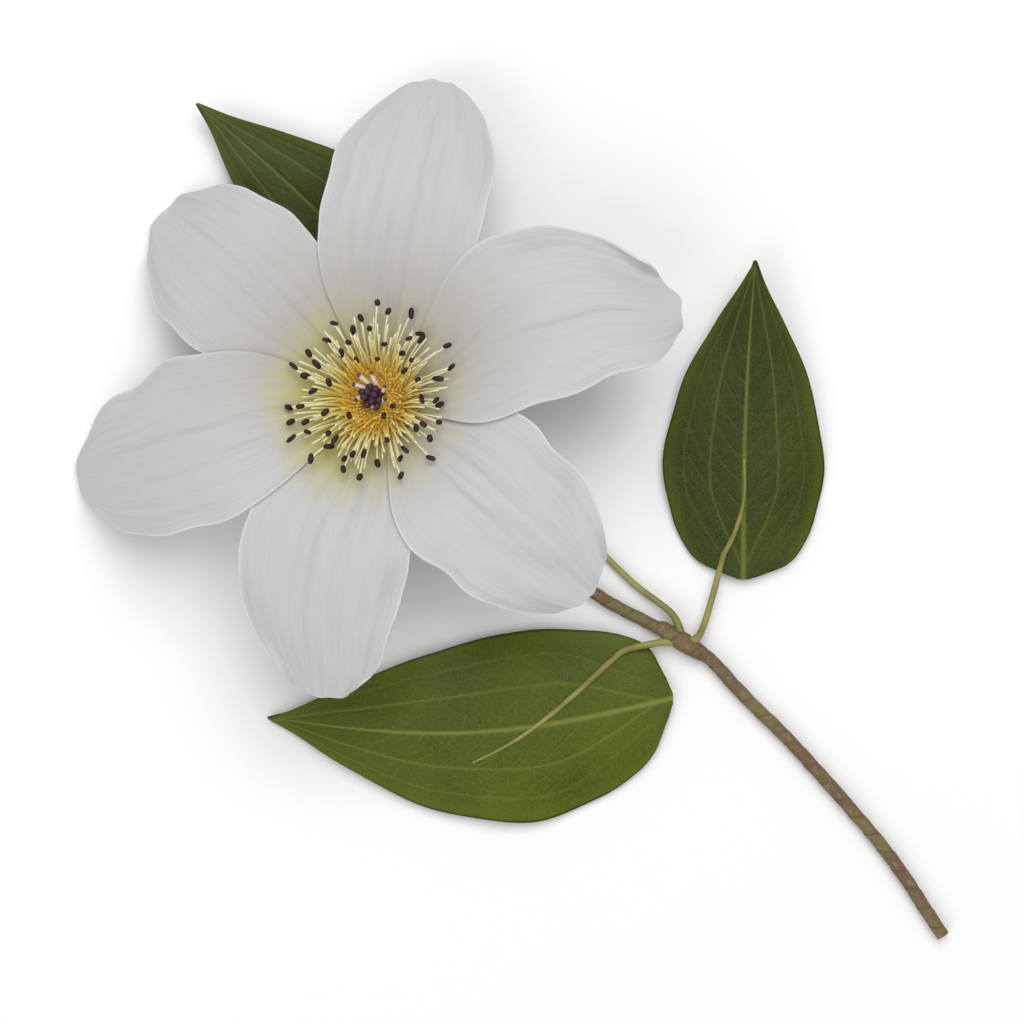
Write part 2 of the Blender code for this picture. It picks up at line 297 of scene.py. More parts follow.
# %% A finish and its inputs
class Finish:
    """A material whose Base Color, Roughness and Normal are worked out by wires."""

    def __init__(self, name, **constants):
        self.material = bpy.data.materials.new(name)
        self.material.use_nodes = True
        self.tree = self.material.node_tree
        self.shader = self.tree.nodes["Principled BSDF"]
        self.start = Wire(self.tree, None)
        for socket, value in constants.items():
            self.shader.inputs[socket.replace("_", " ")].default_value = value

    def place(self):
        """Where a point is on the piece, in metres."""
        return self.start.node("ShaderNodeTexCoord", output=3)

    def flat(self):
        """Where a point was on the flat grid, by the grid's UV map."""
        return self.start.node("ShaderNodeUVMap")

    def on_sheet(self):
        """How far along, 0 to 1, and how far across, -1 to 1, a point is."""
        along = self.start.node("ShaderNodeSeparateXYZ", None, {0: self.flat()})
        across = Wire(self.tree, along.socket.node.outputs[1])
        return along, across * 2 - 1

    def attribute(self, name):
        return self.start.node("ShaderNodeAttribute", {"attribute_name": name}, output=2)

    def from_bloom(self):
        """A point's place measured from the middle of the bloom, in metres."""
        return self.place().vector("SUBTRACT", bloom_centre)

    def stretched(self, where, scale):
        return where.node("ShaderNodeMapping", None, {"Vector": where, "Scale": scale})

    def noise(self, where, scale, detail=3.0, rough=0.5):
        sockets = {"Vector": where, "Scale": scale, "Detail": detail, "Roughness": rough}
        return where.node("ShaderNodeTexNoise", None, sockets)

    def cells(self, where, scale):
        """Distance to the nearest wall of a net of cells."""
        settings = {"feature": "DISTANCE_TO_EDGE"}
        return where.node("ShaderNodeTexVoronoi", settings, {"Vector": where, "Scale": scale})

    def paint(self, colour, roughness, bumps=()):
        """Links the colour, the roughness and (height, strength, depth in mm) bumps."""
        self.tree.links.new(colour.socket, self.shader.inputs["Base Color"])
        self.tree.links.new(roughness.socket, self.shader.inputs["Roughness"])
        normal = None
        for height, strength, depth in bumps:
            sockets = {"Height": height, "Strength": strength, "Distance": depth * MM}
            if normal is not None:
                sockets["Normal"] = normal
            normal = height.node("ShaderNodeBump", None, sockets)
        if normal is not None:
            self.tree.links.new(normal.socket, self.shader.inputs["Normal"])
        return self.material


# %% [markdown]
# ## The petals
#
# Six petals are cut from thin fabric and pressed in a hot mould, which leaves
# long grooves that meet at the claw. Together they make a shallow bowl round the
# stamens, then each arches back and turns its tip down. A grid that is moved by
# a rule can follow all of this at once. Near the middle the petals overlap, so
# each has its own layer in the pile.

# %% The petals' measures
PETALS = {  # heading, length, width, drop of the tip, sideways bow, fullness near the claw, layer
    "petal_top": (81.0, 54.5, 27.0, 9.9, 0.0, 0.95, 0.3),
    "petal_upper_right": (17.5, 51.0, 28.0, 7.9, 3.6, 0.80, 0.8),
    "petal_lower_right": (-42.0, 47.5, 27.5, 5.4, 0.0, 0.75, 0.3),
    "petal_bottom": (-100.5, 48.5, 27.5, 8.4, -2.2, 0.80, -0.2),
    "petal_left": (-168.5, 53.5, 28.0, 15.8, 1.4, 0.95, 0.3),
    "petal_upper_left": (138.5, 51.0, 26.5, 12.3, 0.0, 0.95, -0.2),
}
PETAL_ROOT = 1.9
PETAL_THICK = 0.36
BOWL_START, BOWL_RADIUS, BOWL_DEPTH, BOWL_FLOOR = 2.9, 28.0, 8.5, -1.6
PETAL_FREE, PETAL_ARCH = 0.35, 2.2  # where the arch starts, and how late it bends
PETAL_CUP = 1.2
PETAL_OUTLINE = (
    (0, 0.16), (0.15, 0.5), (0.3, 0.8), (0.45, 0.96),
    (0.62, 1), (0.8, 0.9), (0.91, 0.73), (1, 0.47),
)
PETAL_ROWS, PETAL_COLUMNS = 104, 72
GROOVES = (  # place across, width, depth
    (0.0, 0.035, 0.12), (0.15, 0.055, 0.3), (0.36, 0.07, 0.26), (0.63, 0.08, 0.2),
)
CURLS = {  # side, start and end along, start across, height
    "petal_left": (-1, 0.45, 0.85, 0.25, -2.8),
    "petal_upper_right": (1, 0.3, 0.6, 0.7, 1.3),
    "petal_upper_left": (1, 0.55, 0.95, 0.4, -1.4),
    "petal_bottom": (1, 0.6, 0.95, 0.5, 1.1),
    "petal_top": (-1, 0.5, 0.9, 0.55, -1.3),
    "petal_lower_right": (-1, 0.5, 0.9, 0.5, -1.2),
}


# %% A petal's surface
def pressed(along, across, seed):
    """The grooves, flutes and crinkles of one petal, in millimetres."""
    height = 0
    side = math.copysign(4, across)
    fade = ease(along, 0.02, 0.2) * (1 - 0.8 * ease(along, 0.5, 0.95))
    for place, width, depth in GROOVES:
        wander = 0.12 * noise.noise((along * 2.2, place * 9 + side, seed))
        deep = depth * (1 + 1.2 * noise.noise((along * 2, place * 7 + side, seed + 5)))
        gap = (abs(across) - place - wander) / width
        height -= deep * math.exp(-gap * gap) * fade
    flutes = math.cos(across * math.pi * 6) * 0.12 * (1 - ease(along, 0.1, 0.4))
    waves = 1.0 * noise.noise((along * 2.6, across * 1.5, seed)) * ease(along, 0.25, 0.7)
    crinkles = 0.26 * noise.noise((along * 8, across * 5, seed + 3)) * ease(along, 0.25, 0.7)
    return height + flutes + waves + crinkles


def ruffled(along, across, seed):
    """The soft waves of a petal's edge and tip, in millimetres."""
    edge = ease(abs(across), 0.55, 1) * ease(along, 0.3, 0.7)
    side = 0.6 * math.sin(along * 17 + across * 2 + seed * 1.7) * edge
    tip = 0.45 * math.sin(across * 5.5 + seed * 2.3) * ease(along, 0.78, 1)
    return side + tip


def petal_place(name, seed):
    """The rule that puts each point of a grid on one petal."""
    heading, length, width, drop, bow, fullness, layer = PETALS[name]
    turn = to_bloom @ Matrix.Rotation(math.radians(heading), 4, "Z")
    side, start, end, inner, curl = CURLS[name]

    def place(along, across):
        rounding = 0.06 * across**2 + 0.012 * noise.noise((across * 2.4, seed * 5.0, 1.5))
        out = PETAL_ROOT + (length - PETAL_ROOT) * (along - rounding * along**4)
        claw = out * (0.6 + 0.012 * out)
        waver = noise.noise((along * 6, math.copysign(2, across), seed * 3.0)) * ease(along, 0.3, 0.6)
        blade = width / 2 * smooth_through(PETAL_OUTLINE, along**fullness) * (1 + 0.075 * waver)
        half = lesser(blade, claw)
        left = half * across + bow * ease(along, 0.15, 0.5) * (1 - ease(along, 0.7, 1))
        radius = math.hypot(out, left)
        rise = min((radius - BOWL_START) / (BOWL_RADIUS - BOWL_START), 1)
        up = BOWL_FLOOR + BOWL_DEPTH * math.sin(math.pi / 2 * rise)
        bent = (out - PETAL_ROOT) / (length - PETAL_ROOT) - PETAL_FREE
        up -= drop * max(bent / (1 - PETAL_FREE), 0) ** PETAL_ARCH
        up -= PETAL_CUP * (half * across / (width / 2)) ** 2 * ease(along, 0.3, 0.8)
        up += layer * ease(radius, 5, 11)
        up += curl * ease(across * side, inner, 1.15) * ease(along, start, end)
        up += pressed(along, across, seed) + ruffled(along, across, seed)
        point = turn @ Vector((out, left, up))
        point.z = at_least(point.z, PETAL_THICK)
        return point * MM

    return place


# %% [markdown]
# The petals' white is not one white. The claws are stained yellow green, most
# of all on the left, and the bowl round them has painted shade, darkest towards
# the top petal. Fine veins run from claw to tip, and the thin edge catches the
# light. The stain and the painted shade are both broken up by the veins'
# streaks. A little light sinks into the fabric.

# %% The petals' finish
WHITE = (0.520, 0.510, 0.531)
WARM_WHITE = (0.534, 0.522, 0.518)
VEIN_SHADE = (0.440, 0.432, 0.458)
CLAW_TINT = (0.47, 0.44, 0.13)
# painted shade for the bowl round the stamens, darkest towards the top petal
BOWL_PAINTED_SHADE = (0.400, 0.380, 0.345)
EDGE_LIGHT = (0.66, 0.66, 0.675)
TINT_SIDE = Vector((-1.0, -0.25, 0))  # the side where the claws are greenest
PAINTED_SHADE_SIDE = Vector((-0.1, 1.0, 0))  # the side where the bowl's painted shade is darkest
TINT_FADE = (8.0, 22.0)  # distances from the middle between which the green fades out
PAINTED_SHADE_FADE = (16.0, 36.0)


def petal_finish():
    white = Finish(
        "petal_fabric", Subsurface_Weight=0.2, Subsurface_Radius=(1.0, 0.95, 0.9),
        Subsurface_Scale=0.0008, Sheen_Weight=0.08, Specular_IOR_Level=0.3,
    )
    across = white.on_sheet()[1]
    flat = white.flat()
    veins = white.noise(white.stretched(flat, (2.2, 62, 1)), 1.0, 2.0)
    streaks = white.noise(white.stretched(flat, (1.4, 13, 1)), 1.0, 2.0)
    cloud = white.noise(white.place(), 60.0)
    body = cloud.ease(0.35, 0.65).mix(WHITE, WARM_WHITE)
    body = (veins.ease(0.5, 0.72) * 0.35).mix(body, VEIN_SHADE)
    body = (streaks.ease(0.5, 0.7) * 0.5).mix(body, VEIN_SHADE)
    body = (abs(across).ease(0.95, 1.0) * 0.6).mix(body, EDGE_LIGHT)
    reach = white.from_bloom()
    radius = reach.vector("LENGTH", output=1) / MM
    greener = reach.towards(TINT_SIDE).ease(-10.0, 16.0) * 0.75 + 0.4
    # how strongly the bowl takes its painted shade, most towards the top petal
    bowl_shade = reach.towards(PAINTED_SHADE_SIDE).ease(-10.0, 12.0) * 0.75
    streaky = radius + streaks * 9 - 4.5
    body = ((1 - streaky.ease(*PAINTED_SHADE_FADE)) * bowl_shade).mix(body, BOWL_PAINTED_SHADE)
    body = ((1 - streaky.ease(*TINT_FADE)) * greener).mix(body, CLAW_TINT)
    rough = veins * 0.12 + 0.5
    weave = white.noise(white.stretched(flat, (190, 100, 1)), 1.0, 1.0)
    return white.paint(body, rough, ((veins, 0.35, 0.1), (streaks, 0.5, 0.4), (weave, 0.12, 0.05)))


# %% Make the petals
petal_fabric = petal_finish()
for seed, name in enumerate(PETALS):
    petal = shaped_grid(name + "_pressed", PETAL_ROWS, PETAL_COLUMNS, petal_place(name, seed))
    thicken(petal, PETAL_THICK)
    petal.data.materials.append(petal_fabric)
    smooth_by(petal, 60)
    finish_piece(petal, [name])


# %% [markdown]
# ## The button and the collar
#
# Under the petals sits a small moulded collar that grips the stalk, and above
# them a round button that holds the stamens. Both are turned shapes: a disc is
# extruded ring by ring, and each new ring is resized.

# %% Turned shapes
def turned(name, stations, sides=48):
    """A disc that is extruded through stations of (radius, height) on the bloom's axis."""
    deselect_all()
    radius, height = stations[0]
    bpy.ops.mesh.primitive_circle_add(
        vertices=sides, radius=radius * MM, fill_type="NGON", location=(0, 0, height * MM)
    )
    piece = named(name)
    bpy.ops.object.transform_apply(location=True)
    bpy.ops.object.mode_set(mode="EDIT")
    for (before, low), (after, high) in zip(stations, stations[1:]):
        bpy.ops.mesh.extrude_region_move(TRANSFORM_OT_translate={"value": (0, 0, (high - low) * MM)})
        size = after / before
        bpy.ops.transform.resize(value=(size, size, 1), center_override=(0, 0, high * MM))
    bpy.ops.mesh.select_all(action="SELECT")
    bpy.ops.mesh.normals_make_consistent(inside=False)
    bpy.ops.object.mode_set(mode="OBJECT")
    return piece


def curved_stations(stations, each):
    """More stations between the given ones, on a smooth profile."""
    return [(p.x, p.y) for p in smooth_route([(*station, 0) for station in stations], each)]


def bloom_place(piece):
    """Moves a piece that was made round the origin to the bloom."""
    for vert in piece.data.vertices:
        vert.co = to_bloom @ (vert.co / MM) * MM


# %% [markdown]
# The collar is golden orange, paler at its rim, with shallow ribs down its
# sides. The ribs are pushed out of the turned shape point by point.

# %% The collar
COLLAR_STATIONS = (
    (1.2, -8.7), (1.42, -8.5), (1.75, -6.6), (2.2, -4.0),
    (2.45, -2.1), (2.75, -1.5), (2.5, -1.2), (1.9, -1.3),
)
COLLAR_RIBS = 9
RIB_DEPTH = 0.05  # as a share of the radius
COLLAR_SIDES = 72
GOLD_DEEP = (0.60, 0.27, 0.045)
GOLD_PALE = (0.84, 0.66, 0.30)


def collar_finish():
    gold = Finish("collar_gold", Subsurface_Weight=0.1, Subsurface_Scale=0.001)
    height = gold.from_bloom().towards(bloom_axis)
    patches = gold.noise(gold.place(), 500.0)
    fade = (height + patches * 2).ease(-6.5, -0.5)
    return gold.paint(fade.mix(GOLD_DEEP, GOLD_PALE), patches * 0.2 + 0.35, ((patches, 0.2, 0.1),))


collar = turned("collar_ribbed", curved_stations(COLLAR_STATIONS, 4), COLLAR_SIDES)
for vert in collar.data.vertices:
    angle = math.atan2(vert.co.y, vert.co.x)
    height = vert.co.z / MM
    fade = ease(-height, 1.2, 3) * ease(height, -8.4, -6)
    rib = 1 + RIB_DEPTH * math.cos(angle * COLLAR_RIBS) * fade
    vert.co.x *= rib
    vert.co.y *= rib
bloom_place(collar)
collar.data.materials.append(collar_finish())
smooth_by(collar)
finish_piece(collar, ["collar"])

# %% [markdown]
# The button carries a dense mat of short gold stubs, which lean outwards like
# bristles. One stub is modelled, with only a few faces, and copied over the
# button in the spiral that a seed head has, because that fills a disc evenly.

# %% A stub and its copies
BUTTON_STATIONS = (
    (2.0, -1.1), (2.0, 0.85), (5.9, 0.95), (6.35, 1.4), (5.8, 1.85), (3.2, 2.05), (0.4, 2.1),
)
STUB_PROFILE = ((0.24, 0), (0.2, 0.6), (0.18, 1.1), (0.17, 1.45), (0.07, 1.6))
STUB_SIDES = 6
STUB_COUNT = 430
STUB_FIELD = (1.5, 6.5)  # inner and outer radius of the mat
STUB_STRAY = 0.12
STUB_TALL, STUB_WIDE = (0.65, 1.1), (0.85, 1.15)  # least and most, as shares of the profile
STUB_FOOT, STUB_FALL = 1.75, 0.05  # height on the axis, and how much lower for each millimetre out
STUB_SPLAY, STUB_SPREAD = 0.08, 0.15  # lean on the axis, and how much more for each millimetre out
GOLDEN_TURN = math.pi * (3 - math.sqrt(5))


def bristle(name, profile, sides):
    """A straight bristle along +Z, through stations of (radius, height), with its height on it."""
    piece = turned(name, profile, sides)
    low, high = profile[0][1] * MM, profile[-1][1] * MM
    write_on(piece, "rise", lambda point: (point.z - low) / (high - low))
    write_on(piece, "variety", lambda point: 0)
    return piece


def bent_copy(model, variety, place):
    """A copy with its own mesh, whose points are moved by place(point in millimetres)."""
    copy = model.copy()
    copy.data = model.data.copy()
    bpy.context.collection.objects.link(copy)
    for vert in copy.data.vertices:
        vert.co = place(vert.co / MM) * MM
    layer = copy.data.attributes["variety"]
    layer.data.foreach_set("value", [variety] * len(copy.data.vertices))
    return copy


def join_copies(copies, name):
    deselect_all()
    for copy in copies:
        copy.select_set(True)
    bpy.context.view_layer.objects.active = copies[0]
    bpy.ops.object.join()
    return named(name)


# %% The mat of gold stubs
def outwards(heading):
    """A level step of one millimetre, at a heading in radians."""
    return Vector((math.cos(heading), math.sin(heading), 0))


def stub_place(heading, radius, tall, chance):
    """Stands a stub on the button, leaning outwards."""
    out = outwards(heading)
    lean = (Vector((0, 0, 1)) + out * (STUB_SPLAY + STUB_SPREAD * radius)).normalized()
    across = Vector((-out.y, out.x, 0))
    ahead = across.cross(lean)
    foot = out * radius + Vector((0, 0, STUB_FOOT - STUB_FALL * radius))
    wide = chance.uniform(*STUB_WIDE)

    def place(point):
        return to_bloom @ (foot + (ahead * point.x + across * point.y) * wide + lean * point.z * tall)

    return place


stub = bristle("stub", STUB_PROFILE, STUB_SIDES)
chance = random.Random(11)
stubs = []
for k in range(STUB_COUNT):
    share = (k + 0.5) / STUB_COUNT
    radius = math.sqrt(STUB_FIELD[0] ** 2 + share * (STUB_FIELD[1] ** 2 - STUB_FIELD[0] ** 2))
    radius += chance.uniform(-STUB_STRAY, STUB_STRAY)
    place = stub_place(k * GOLDEN_TURN, radius, chance.uniform(*STUB_TALL), chance)
    stubs.append(bent_copy(stub, chance.random(), place))
bpy.data.objects.remove(stub)
mat = join_copies(stubs, "button_stubs")

# %% The button's finish
GOLD_DARK = (0.60, 0.34, 0.03)
GOLD_BODY = (0.80, 0.60, 0.075)
GOLD_LIGHT = (0.92, 0.76, 0.27)


def button_finish():
    gold = Finish("button_gold", Subsurface_Weight=0.1, Subsurface_Scale=0.0008)
    rise = gold.attribute("rise")
    variety = gold.attribute("variety")
    grain = gold.noise(gold.place(), 900.0)
    tone = rise * 0.55 + variety * 0.35 + grain * 0.25 - 0.1
    colour = tone.bands(((0.0, GOLD_DARK), (0.5, GOLD_BODY), (1.0, GOLD_LIGHT)))
    return gold.paint(colour, grain * 0.2 + 0.45, ((grain, 0.3, 0.05),))


button_gold = button_finish()
button = turned("button_turned", curved_stations(BUTTON_STATIONS, 3))
bloom_place(button)
button.data.materials.append(button_gold)
mat.data.materials.append(button_gold)
smooth_by(button)
smooth_by(mat)
finish_piece(button, ["receptacle"])
finish_piece(mat)

# %% [markdown]
# ## The stamens
#
# Each stamen is a hair-thin filament that rises from the button, leans out and
# carries a dark anther. Some filaments end bare, as pale points between the
# others. A filament and an anther are modelled once, straight, and every copy is
# bent along its own arc. The filaments of one ring are joined into one piece,
# and its anthers into another, because they are different stuff.

# %% One filament and one anther
FILAMENT_PROFILE = (
    (0.2, 0), (0.17, 0.2), (0.15, 0.4), (0.14, 0.6), (0.13, 0.8), (0.16, 0.94), (0.1, 1.0),
)
ANTHER_PROFILE = ((0.2, -0.5), (0.42, -0.36), (0.5, -0.05), (0.48, 0.25), (0.3, 0.46), (0.12, 0.52))
FILAMENT_SIDES, ANTHER_SIDES = 6, 8
TILT = Vector((0.3, 0.2, 1))  # not in line with any filament
filament = bristle("filament", FILAMENT_PROFILE, FILAMENT_SIDES)
anther = bristle("anther", ANTHER_PROFILE, ANTHER_SIDES)


def arc_point(foot, end, share):
    """A place on a stamen's arc: it starts upright and leans out more and more."""
    corner = foot.lerp(end, 0.45)
    corner.z = foot.lerp(end, 0.8).z
    return foot.lerp(corner, share).lerp(corner.lerp(end, share), share)


def along_arc(foot, end, point):
    """Bends a point of the straight filament onto the arc."""
    here = arc_point(foot, end, point.z)
    ahead = (arc_point(foot, end, point.z + 0.02) - here).normalized()
    across = ahead.cross(TILT).normalized()
    return to_bloom @ (here + across * point.x + ahead.cross(across) * point.y)


def at_end(foot, end, long, wide, turn, point):
    """Sets an anther on the end of a filament."""
    ahead = (end - arc_point(foot, end, 0.9)).normalized()
    ahead = (ahead + turn * 0.8).normalized()
    across = ahead.cross(TILT).normalized()
    body = across * point.x * wide + ahead.cross(across) * point.y * wide
    return to_bloom @ (end + body + ahead * point.z * long)


# %% Three rings of stamens
RINGS = {  # filaments, share with an anther, foot radius, reach of the tips, height of the tips
    "stamens_outer": (124, 0.25, (5.0, 6.4), (10.6, 14.6), (4.9, 7.4)),
    "stamens_middle": (92, 0.27, (4.2, 5.4), (7.6, 11.2), (6.4, 8.8)),
    "stamens_inner": (36, 0.24, (3.1, 4.2), (4.6, 7.8), (7.0, 9.0)),
}
STAMEN_FOOT = 1.6
SCATTER = 0.35  # how far a foot strays, as a share of the way to the next
SWERVE = 1.4  # how far a tip may stand to either side
BARE_REACH = 0.88  # a filament without an anther is this much shorter
ANTHER_LONG, ANTHER_WIDE = (1.0, 1.9), (0.75, 1.02)


def ring_of_stamens(name, chance):
    """Bends the copies of one ring, and joins them as filaments and anthers."""
    count, share, feet, reaches, tops = RINGS[name]
    threads, heads = [], []
    for k in range(count):
        heading = (k + chance.uniform(-SCATTER, SCATTER)) / count * math.tau
        out = outwards(heading)
        swerve = Vector((-out.y, out.x, 0)) * chance.uniform(-SWERVE, SWERVE)
        foot = out * chance.uniform(*feet) + Vector((0, 0, STAMEN_FOOT))
        headed = int((k + 1) * share) > int(k * share)
        reach = chance.uniform(*reaches) * (1 if headed else BARE_REACH)
        end = out * reach + swerve + Vector((0, 0, chance.uniform(*tops)))
        variety = chance.random()
        threads.append(bent_copy(filament, variety, lambda point: along_arc(foot, end, point)))
        long, wide = chance.uniform(*ANTHER_LONG), chance.uniform(*ANTHER_WIDE)
        turn = Vector((chance.uniform(-1, 1), chance.uniform(-1, 1), chance.uniform(-0.6, 0.6)))
        if headed:
            heads.append(
                bent_copy(anther, variety, lambda point: at_end(foot, end, long, wide, turn, point))
            )
    return join_copies(threads, name + "_filaments"), join_copies(heads, name + "_anthers")


# %% [markdown]
# The filaments are gold over the button and cream beyond it, so each point of
# them is told how far it is from the bloom's axis. The anthers are a purple that
# is nearly black, with a dusty bloom of lighter grains.

# %% The stamens' finishes
FILAMENT_GOLD = (0.86, 0.60, 0.09)
FILAMENT_YELLOW = (0.84, 0.73, 0.30)
FILAMENT_CREAM = (0.84, 0.78, 0.52)
ANTHER_DARK = (0.016, 0.006, 0.009)
ANTHER_DUST = (0.075, 0.03, 0.035)


def away(point):
    """How far a point is from the bloom's axis, in millimetres."""
    reach = point - bloom_centre
    return (reach - bloom_axis * reach.dot(bloom_axis)).length / MM


def filament_finish():
    cream = Finish("filament_cream", Subsurface_Weight=0.2, Subsurface_Scale=0.0006)
    variety = cream.attribute("variety")
    tone = (cream.attribute("away") + variety * 2 - 5) / 7
    colour = tone.bands(((0.05, FILAMENT_GOLD), (0.4, FILAMENT_YELLOW), (0.85, FILAMENT_CREAM)))
    grain = cream.noise(cream.place(), 1500.0)
    return cream.paint(colour, grain * 0.2 + 0.4, ((grain, 0.2, 0.03),))


def anther_finish():
    dark = Finish("anther_purple", Specular_IOR_Level=0.35)
    dust = dark.noise(dark.place(), 2600.0, 2.0, 0.7)
    colour = (dust.ease(0.5, 0.75) * 0.8).mix(ANTHER_DARK, ANTHER_DUST)
    return dark.paint(colour, dust * 0.3 + 0.4, ((dust, 0.5, 0.05),))


filament_cream = filament_finish()
anther_purple = anther_finish()
chance = random.Random(5)
for name in RINGS:
    threads, heads = ring_of_stamens(name, chance)
    write_on(threads, "away", away)
    threads.data.materials.append(filament_cream)
    heads.data.materials.append(anther_purple)
    smooth_by(threads)
    smooth_by(heads)
    finish_piece(threads, [name])
    finish_piece(heads)

# %% [markdown]
# ## The pistil
#
# In the very middle stands a tight knot of dark purple seed heads, with a few
# pale styles that curl up beside it. The knot is a heap of the anther's own
# bead, set in a spiral, and the styles are filaments again, thicker and bent.

# %% The knot and its styles
KNOT_COUNT = 11
KNOT_RADIUS = 1.35
KNOT_FOOT, KNOT_TOP, KNOT_DOME = 0.5, 4.6, 0.5
BEAD_LONG, BEAD_WIDE, BEAD_LEAN = 2.6, 1.45, 0.2
STYLES = (  # heading in degrees, then the reach and the height of the tip
    (88, 3.6, 6.1), (121, 3.7, 6.6), (150, 3.3, 6.0), (200, 2.7, 5.4),
    (285, 2.4, 5.0), (345, 2.5, 5.2), (30, 2.7, 5.6),
)
STYLE_FOOT = (1.2, 2.0)  # radius and height
STYLE_SWIRL = Matrix.Rotation(-0.9, 3, "Z")  # a style's foot stands to one side of its tip
STYLE_WIDTH = Matrix.Diagonal((2.4, 2.4, 1.0))
STYLE_PALE = (0.80, 0.68, 0.60)
STYLE_TIP = (0.10, 0.025, 0.05)
KNOT_PURPLE = (0.045, 0.014, 0.030)
KNOT_DUST = (0.13, 0.06, 0.09)

chance = random.Random(3)
beads, styles = [], []
for k in range(KNOT_COUNT):
    radius = KNOT_RADIUS * math.sqrt((k + 0.5) / KNOT_COUNT)
    out = outwards(k * GOLDEN_TURN)
    end = out * radius + Vector((0, 0, KNOT_TOP - KNOT_DOME * radius**2))
    foot = Vector((0, 0, KNOT_FOOT))
    seat = (foot, end, BEAD_LONG, BEAD_WIDE, out * BEAD_LEAN)
    beads.append(bent_copy(anther, chance.random(), lambda point: at_end(*seat, point)))
for heading, reach, top in STYLES:
    out = outwards(math.radians(heading))
    foot = STYLE_SWIRL @ out * STYLE_FOOT[0] + Vector((0, 0, STYLE_FOOT[1]))
    end = out * reach + Vector((0, 0, top))
    styles.append(
        bent_copy(filament, chance.random(), lambda point: along_arc(foot, end, STYLE_WIDTH @ point))
    )
knot = join_copies(beads, "pistil_knot")
tuft = join_copies(styles, "pistil_styles")
bpy.data.objects.remove(filament)
bpy.data.objects.remove(anther)


def style_finish():
    pale = Finish("style_pale", Subsurface_Weight=0.2, Subsurface_Scale=0.0006)
    grain = pale.noise(pale.place(), 1200.0)
    tone = pale.attribute("rise") + grain * 0.2 - 0.1
    colour = tone.bands(((0.3, STYLE_PALE), (0.82, STYLE_PALE), (0.92, STYLE_TIP)))
    return pale.paint(colour, grain * 0.2 + 0.4, ((grain, 0.2, 0.03),))


def knot_finish():
    purple = Finish("knot_purple", Specular_IOR_Level=0.4)
    dust = purple.noise(purple.place(), 2200.0, 2.0, 0.7)
    colour = (dust.ease(0.5, 0.75) * 0.7).mix(KNOT_PURPLE, KNOT_DUST)
    return purple.paint(colour, dust * 0.3 + 0.35, ((dust, 0.5, 0.05),))


knot.data.materials.append(knot_finish())
tuft.data.materials.append(style_finish())
smooth_by(knot)
smooth_by(tuft)
finish_piece(knot, ["pistil"])
finish_piece(tuft)

# %% [markdown]
# ## The stalks
#
# The stalks are wire, wound with paper tape at a slant, so a low step runs round
# them like a screw. A flat grid is rolled into a tube along the stalk's route:
# its two long edges meet and are merged, and its ends are filled.

# %% A rolled tube
def spaced(line, count):
    """The same line with its points at equal distances, and the line's length."""
    points = np.array([list(p) for p in line])
    run = np.concatenate([[0], np.cumsum(np.linalg.norm(np.diff(points, axis=0), axis=1))])
    places = np.linspace(0, run[-1], count + 1)
    even = np.stack([np.interp(places, run, points[:, k]) for k in range(3)], axis=1)
    return [Vector(p) for p in even], run[-1]


def rolled_tube(name, line, sides, step, radius_at):
    """A grid rolled round a line. radius_at(length so far, share, angle) gives its radius."""
    rows = max(round(spaced(line, 8)[1] / step), 4)
    line, length = spaced(line, rows)
    ahead = [(line[min(k + 1, rows)] - line[max(k - 1, 0)]).normalized() for k in range(rows + 1)]
    across = [ahead[0].orthogonal().normalized()]
    for direction in ahead[1:]:
        across.append((across[-1] - direction * across[-1].dot(direction)).normalized())

    def place(along, around):
        k = round(along * rows)
        angle = math.pi * around
        out = across[k] * math.cos(angle) + ahead[k].cross(across[k]) * math.sin(angle)
        return (BLOOM_MIDDLE + line[k] + out * radius_at(length * along, along, angle)) * MM

    piece = shaped_grid(name, rows, sides, place)
    bpy.ops.object.mode_set(mode="EDIT")
    bpy.ops.mesh.select_all(action="SELECT")
    bpy.ops.mesh.remove_doubles(threshold=0.00001)
    bpy.ops.mesh.select_all(action="DESELECT")
    bpy.ops.mesh.select_mode(type="EDGE")
    bpy.ops.mesh.select_non_manifold()
    bpy.ops.mesh.fill_holes(sides=0)
    bpy.ops.mesh.select_all(action="SELECT")
    bpy.ops.mesh.normals_make_consistent(inside=False)
    bpy.ops.object.mode_set(mode="OBJECT")
    return piece, length


# %% Taped stalks
STALK_RADIUS = 1.05
STALK_SIDES, STALK_STEP = 24, 0.32
TAPE_PITCH = 3.8
TAPE_STEP = 0.09
TAPE_LUMPS = 0.07


def taped(thickness, swell=None):
    """Radius of a taped stalk: each turn of tape ends in a step, and the wire is never quite round."""

    def radius_at(run, share, angle):
        turn = (run / TAPE_PITCH + angle / math.tau) % 1
        step = TAPE_STEP * (1 - turn) ** 0.6 * ease(turn, 0, 0.08)
        lumps = TAPE_LUMPS * noise.noise((run * 0.5, math.cos(angle), math.sin(angle)))
        fat = swell(share) if swell else 0
        return thickness + fat + step + lumps

    return radius_at


# %% [markdown]
# The tape is a dull brown with olive in it, and dry and fibrous. Painted shade
# darkens the step of each turn: the same sum that placed the step gives it here.

# %% The tape's finish
TAPE_BROWN = (0.150, 0.095, 0.052)
TAPE_OLIVE = (0.175, 0.150, 0.055)
TAPE_PALE = (0.30, 0.24, 0.13)
TAPE_SHADOW = (0.045, 0.030, 0.016)


